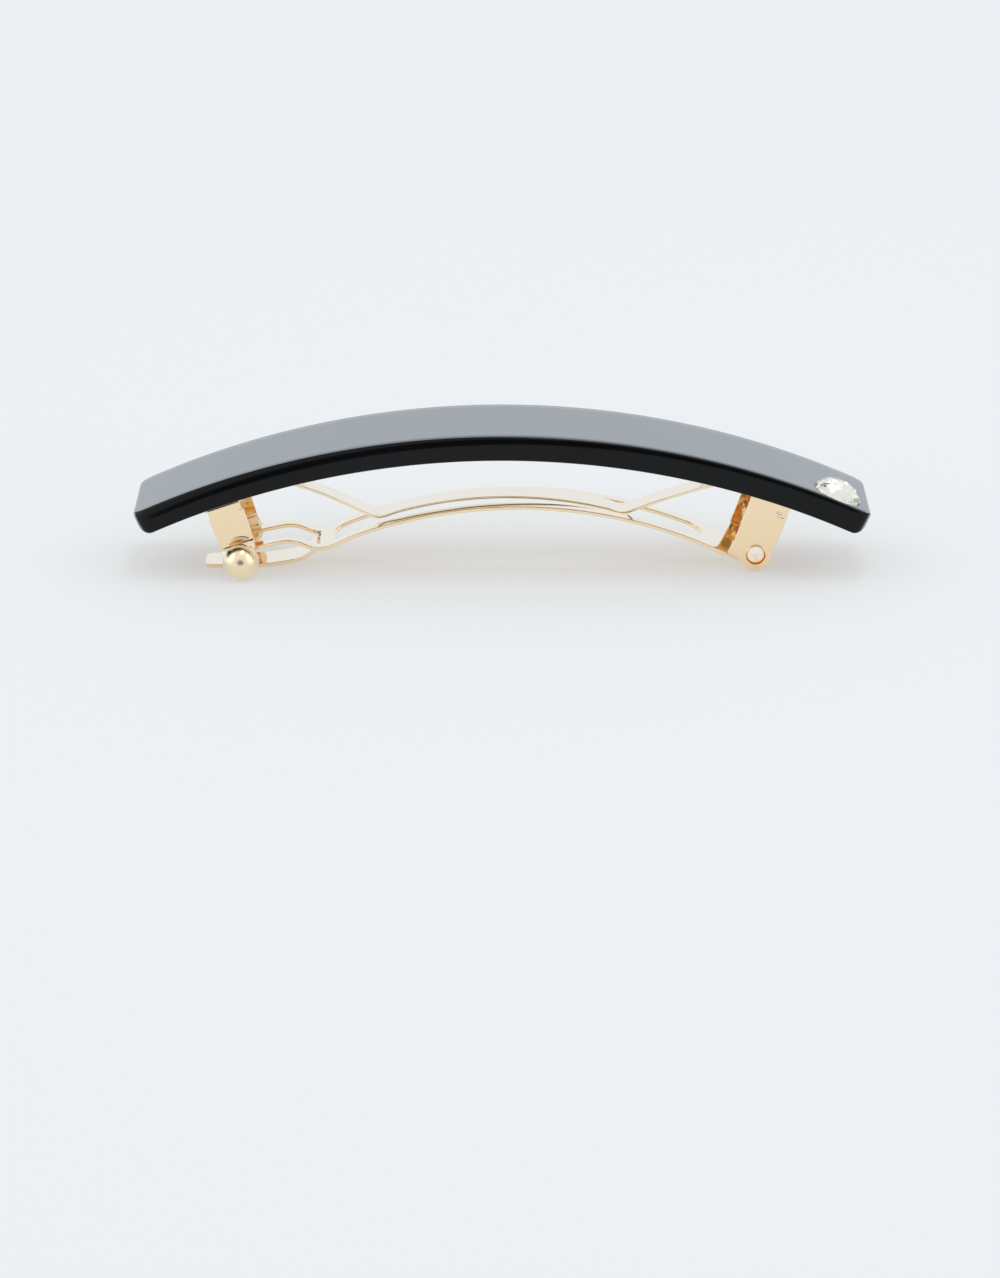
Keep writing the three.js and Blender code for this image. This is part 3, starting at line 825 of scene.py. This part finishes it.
def closing_arm():
    body, tongue = arm_lines()
    fork = body.where(FORK_X)
    shift = tongue.where(FORK_X) - fork
    slope = math.radians(ARM_SLOPE)
    along = Vector((math.cos(slope), 0, -math.sin(slope)))
    out = Vector((math.sin(slope), 0, math.cos(slope)))
    root_u = body.where(ARM_EAR_SPAN[0])
    root, _ = body.at(root_u)
    hinge = Vector((HINGE.x, 0, HINGE.z)) - root
    hinge_u, hinge_h = root_u + hinge.dot(along), hinge.dot(out)
    bend_v = ARM_EAR_FACE - INNER_BEND_R
    bend_length = INNER_BEND_R * math.pi / 2
    ear_base = bend_v + bend_length - INNER_BEND_R
    ear_left, ear_right = (body.where(x) for x in ARM_EAR_SPAN)

    def place(u, v):
        if abs(v) < (RAIL_INNER + TONGUE_HALF) / 2 and u < fork - 0.01:
            point, normal = tongue.at(u + shift)
            return point + Vector((0, v, 0)), normal
        past = abs(v) - bend_v
        if past > 0.001 and u > ear_left - 0.1:
            side = math.copysign(1, v)
            turn = min(past / INNER_BEND_R, math.pi / 2)
            rise = INNER_BEND_R * (1 - math.cos(turn)) + max(past - bend_length, 0)
            y = side * (bend_v + INNER_BEND_R * math.sin(turn))
            point = root + along * (u - root_u) + out * rise + Vector((0, y, 0))
            return point, out * math.cos(turn) - Vector((0, side * math.sin(turn), 0))
        point, normal = body.at(u)
        return point + Vector((0, v, 0)), normal

    ear = [(ear_left, bend_v), (ear_left, ear_base + 1.8), (ear_left + 0.2, ear_base + 2.0)]
    ear += [(hinge_u + p.x, ear_base + hinge_h + p.y)
            for p in arc_points(0, 0, ARM_EAR_R, 168, -42, 24)]
    ear += [(ear_right, ear_base + 0.2), (ear_right, bend_v)]
    w = ARM_HALF_WIDTH
    end_w = bend_v - 0.35
    outer = [(ear_left - 0.3, w), (ear_left - 0.3, bend_v - 0.1), (ear_left, bend_v - 0.1), *ear,
             (ear_right, bend_v - 0.15), (ear_right + 0.25, end_w), (body.length - 0.4, end_w),
             (body.length, end_w - 0.4)]
    tip = -shift
    left_rail = fillet([(fork, RAIL_INNER, 0), (0, RAIL_INNER, 0.4), (0, w, 0.4), (4, w, 0)], 4)
    tab = fillet([(fork, -TONGUE_HALF, 0), (tip, -TONGUE_HALF, 1.2), (tip, TONGUE_HALF, 1.2),
                  (fork, TONGUE_HALF, 0)], 8)
    upper = [(p.x, p.y) for p in left_rail] + outer
    loop = ([Vector((u, v)) for u, v in upper] + [Vector((u, -v)) for u, v in reversed(upper)]
            + tab)
    left, right = body.where(WINDOW[0]), body.where(WINDOW[1])
    window = fillet([(left, -2.6, 1.2), (right, -2.6, 2.2), (right, 2.6, 2.2), (left, 2.6, 1.2)], 8)
    holes = [circle(hinge_u, s * (ear_base + hinge_h), TUBE_HOLE_R) for s in (-1, 1)]
    stations = list(body.marks[1:-1]) + [m - shift for m in tongue.marks[1:] if m - shift < fork]
    levels = [bend_v + bend_length * i / 5 for i in range(6)] + [ear_base + hinge_h]
    cross = [s * level for s in (-1, 1) for level in levels]
    return sheet_metal("closing_arm_pressed", [loop, window] + holes, stations, place, SHEET, GOLD,
                       cross, reach=ARM_HALF_WIDTH, flange_cuts=(hinge_u,))


# ---- the tension bow -----------------------------------------------------------------------

BOW_SHEET = 0.35
BOW_ARC = (0.8, -44.8, 54.9)


def tension_bow():
    left = bent_line([(-29.6, 12.3), (-24.3, 10.6, 2.6), (-16.8, 7.05, 1.1), (-14.2, 8.02)])
    right = bent_line([(14, 8.55), (16.3, 7.65, 1.1), (20.3, 9.25, 2.6), (30, 12.3, 2.8),
                       (36.6, 8.86, 0.6), (37.95, 8.4)])
    line = Line(left[:-1] + arc_points(*BOW_ARC, 105.9, 75.4, 40) + right[1:])
    neck, tee = line.where(37.1), box_mm("tension_bow")[1].y

    def place(u, v):
        point, normal = line.at(u)
        return point + Vector((0, v, 0)), normal

    half = [(0.0, 1.75, 0.7), (line.where(-17), 2.0, 0.0), (line.where(17), 2.0, 0.0),
            (line.where(30), 1.9, 0.0), (neck, 1.9, 0.3), (neck, tee, 0.15),
            (line.length, tee, 0.15)]
    loop = fillet([(u, -v, r) for u, v, r in half] + [(u, v, r) for u, v, r in reversed(half)], 5)
    return sheet_metal("tension_bow_sprung", [loop], line.marks[1:-1], place, BOW_SHEET,
                       SPRING_GOLD, bevel=0.05)


# ---- putting the clip together ---------------------------------------------------------------

def add(piece, body, material_slot, *nodes):
    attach(piece, body)
    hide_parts(*nodes)
    return piece


add(acetate_bar(), "base", "black_acetate", "acetate_bar")
add(faceted_crystal(), "base", "stone", "crystal")
add(base_plate(), "base", "gold_plate", "base_plate")
add(hinge_tube(), "base", "gold_plate", "hinge_tube")
add(catch_bridge(), "base", "gold_plate", "catch_bridge")
for side_name, pin_angle in (("left", -11), ("right", 11)):
    pin = domed_pin(f"mount_pin_{side_name}_domed", pin_angle, BASE_UNDER_R, 1.4, 0.45, 2.2)
    add(pin, "base", "gold_plate", f"mount_pin_{side_name}")
rivet = domed_pin("catch_rivet_domed", CATCH_ANGLE, BASE_UNDER_R - SEAM - LEVER_SHEET, 1.2, 0.35,
                  0.9)
add(rivet, "base", "gold_plate", "catch_rivet")
add(closing_arm(), "arm", "gold_plate", "closing_arm")
add(tension_bow(), "bow", "gold_spring", "tension_bow")
for side_name, side in (("front", -1), ("back", 1)):
    body = f"{side_name}_lever"
    lever = catch_lever(f"catch_lever_{side_name}_pressed", side)
    flex = joint_mm(f"{body}_flex")
    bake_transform(lever)
    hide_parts(f"catch_lever_{side_name}")
    add(knob(f"knob_{side_name}_polished", side), body, "knob_gold", f"knob_{side_name}")


# ---- floor, light and camera -----------------------------------------------------------------

def paper_floor():
    """Pale paper that is mostly lit from within, so that shadows on it stay faint."""
    material, tree, shader = new_material("pale_paper")
    shader.inputs["Base Color"].default_value = (0.393, 0.443, 0.474, 1)
    shader.inputs["Roughness"].default_value = 0.9
    shader.inputs["Specular IOR Level"].default_value = 0
    shader.inputs["Emission Color"].default_value = (1.0, 0.92, 0.868, 1)
    shader.inputs["Emission Strength"].default_value = 0.44
    bump(tree, shader, noise(tree, 3000, 3), 0.02, 0.00005)
    bm = bmesh.new()
    bmesh.ops.create_grid(bm, x_segments=2, y_segments=2, size=3000)
    floor = to_object("pale_floor", bm, material)
    floor.location.z = cad_box[0].z


def brightness(tree, direction, inner, outer, near):
    """A factor that runs from near, within the inner angle of a direction, to 1 past the outer."""
    place = add_node(tree, "ShaderNodeTexCoord")
    along = add_node(tree, "ShaderNodeVectorMath", operation="DOT_PRODUCT")
    along.inputs[1].default_value = Vector(direction).normalized()
    tree.links.new(place.outputs["Generated"], along.inputs[0])
    span = add_node(tree, "ShaderNodeMapRange", interpolation_type="SMOOTHSTEP")
    limits = (math.cos(math.radians(outer)), math.cos(math.radians(inner)), 1.0, near)
    for socket, value in zip(("From Min", "From Max", "To Min", "To Max"), limits):
        span.inputs[socket].default_value = value
    tree.links.new(along.outputs["Value"], span.inputs["Value"])
    return span.outputs["Result"]


def tent_light():
    """A light tent with two side softboxes, and the photographer's dark gap low in front."""
    world = bpy.data.worlds.new("light_tent")
    bpy.context.scene.world = world
    world.use_nodes = True
    tree = world.node_tree
    background = tree.nodes["Background"]
    background.inputs["Color"].default_value = (0.945, 0.98, 1.0, 1)
    parts = [brightness(tree, (0, -1, 0.18), 11, 26, 0.12),
             brightness(tree, (-1, -0.1, 0.5), 12, 40, 1.7),
             brightness(tree, (1, -0.1, 0.5), 12, 40, 1.7)]
    total = add_node(tree, "ShaderNodeValue")
    total.outputs[0].default_value = 0.885
    result = total.outputs[0]
    for part in parts:
        product = add_node(tree, "ShaderNodeMath", operation="MULTIPLY")
        tree.links.new(result, product.inputs[0])
        tree.links.new(part, product.inputs[1])
        result = product.outputs["Value"]
    tree.links.new(result, background.inputs["Strength"])


def aim_at(obj, place, aim):
    """Puts a lamp or camera at a place, turned towards a point."""
    bpy.context.scene.collection.objects.link(obj)
    obj.location = place
    obj.rotation_mode = "QUATERNION"
    obj.rotation_quaternion = (Vector(aim) - obj.location).to_track_quat("-Z", "Y")


def overhead_strip():
    data = bpy.data.lights.new("overhead_strip", "AREA")
    data.shape = "RECTANGLE"
    data.size, data.size_y = 0.3, 0.06
    data.energy = 0.6
    aim_at(bpy.data.objects.new("overhead_strip", data), (0.1, -0.05, 0.8), (0, 0, 0))


def camera():
    data = bpy.data.cameras.new("camera")
    data.lens = 123.8
    data.sensor_width = 36
    data.clip_start, data.clip_end = 0.01, 100
    eye = bpy.data.objects.new("camera", data)
    middle_x = (cad_box[0].x + cad_box[1].x) / 2 - 0.00027
    aim_at(eye, (middle_x, -0.5673, 0.19534), (middle_x, 0, -0.0112))
    bpy.context.scene.camera = eye


paper_floor()
tent_light()
overhead_strip()
camera()
bpy.context.scene.view_settings.view_transform = "Standard"
bpy.context.scene.cycles.max_bounces = 24
bpy.context.scene.cycles.glossy_bounces = 20
